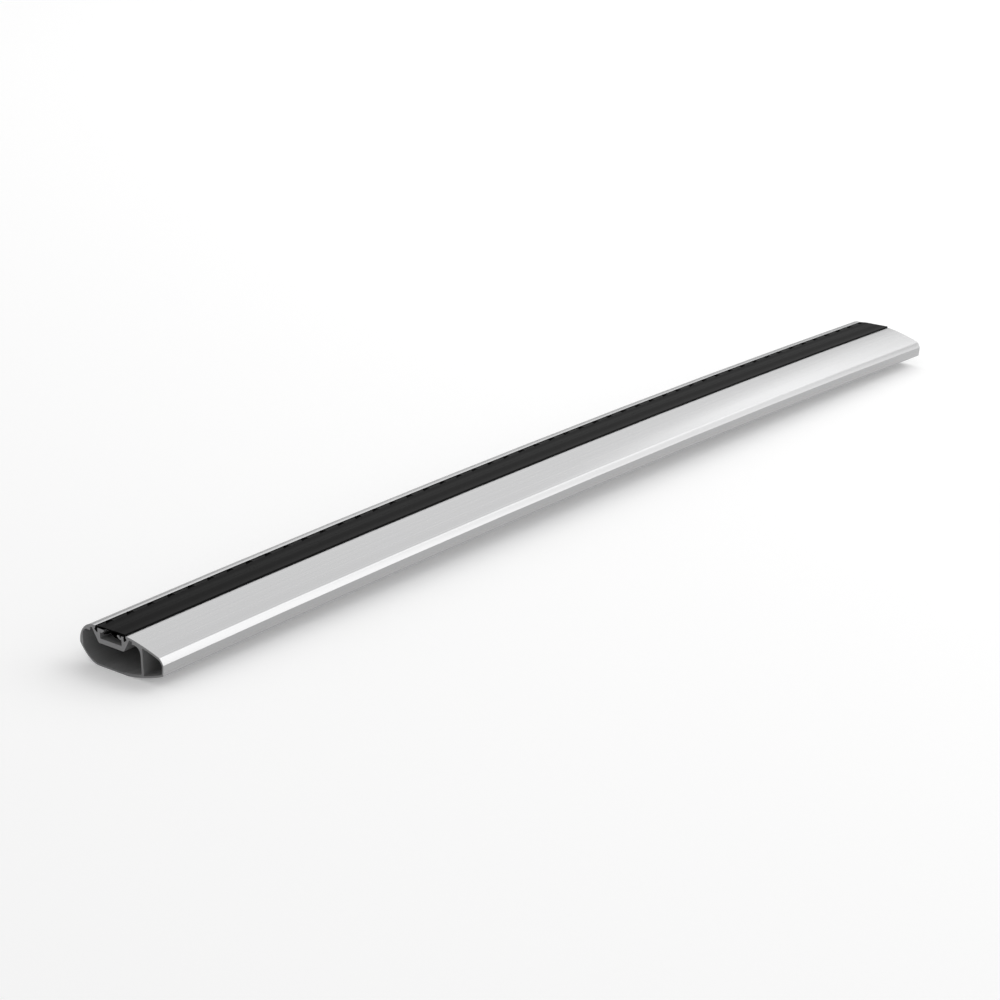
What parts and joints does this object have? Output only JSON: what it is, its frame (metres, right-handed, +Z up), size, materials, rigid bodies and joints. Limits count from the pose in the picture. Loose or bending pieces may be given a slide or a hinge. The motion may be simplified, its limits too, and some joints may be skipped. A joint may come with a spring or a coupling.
{
  "type": "roof rack crossbar",
  "caption": "Roof rack crossbar: a long, gently bowed hollow aluminium wing section, cut open at its ends, with a T-track along its top that a finned black rubber strip closes.",
  "frame": {"origin": "middle of the bounding box, at the lowest point: the underside at the two cut ends", "axes": "+X along the bar, +Y towards the blunt leading edge, which points to the front of the vehicle, +Z up, out of the T-track"},
  "size_m": [0.9514, 0.081, 0.0362],
  "materials": {
    "anodised_aluminium": "satin, clear anodised, fine lines along its length",
    "black_rubber": "matte, extruded"
  },
  "bodies": {
    "root": {"bar_extrusion": "anodised_aluminium", "rear_strip_half": "black_rubber", "front_strip_half": "black_rubber"}
  },
  "joints": []
}
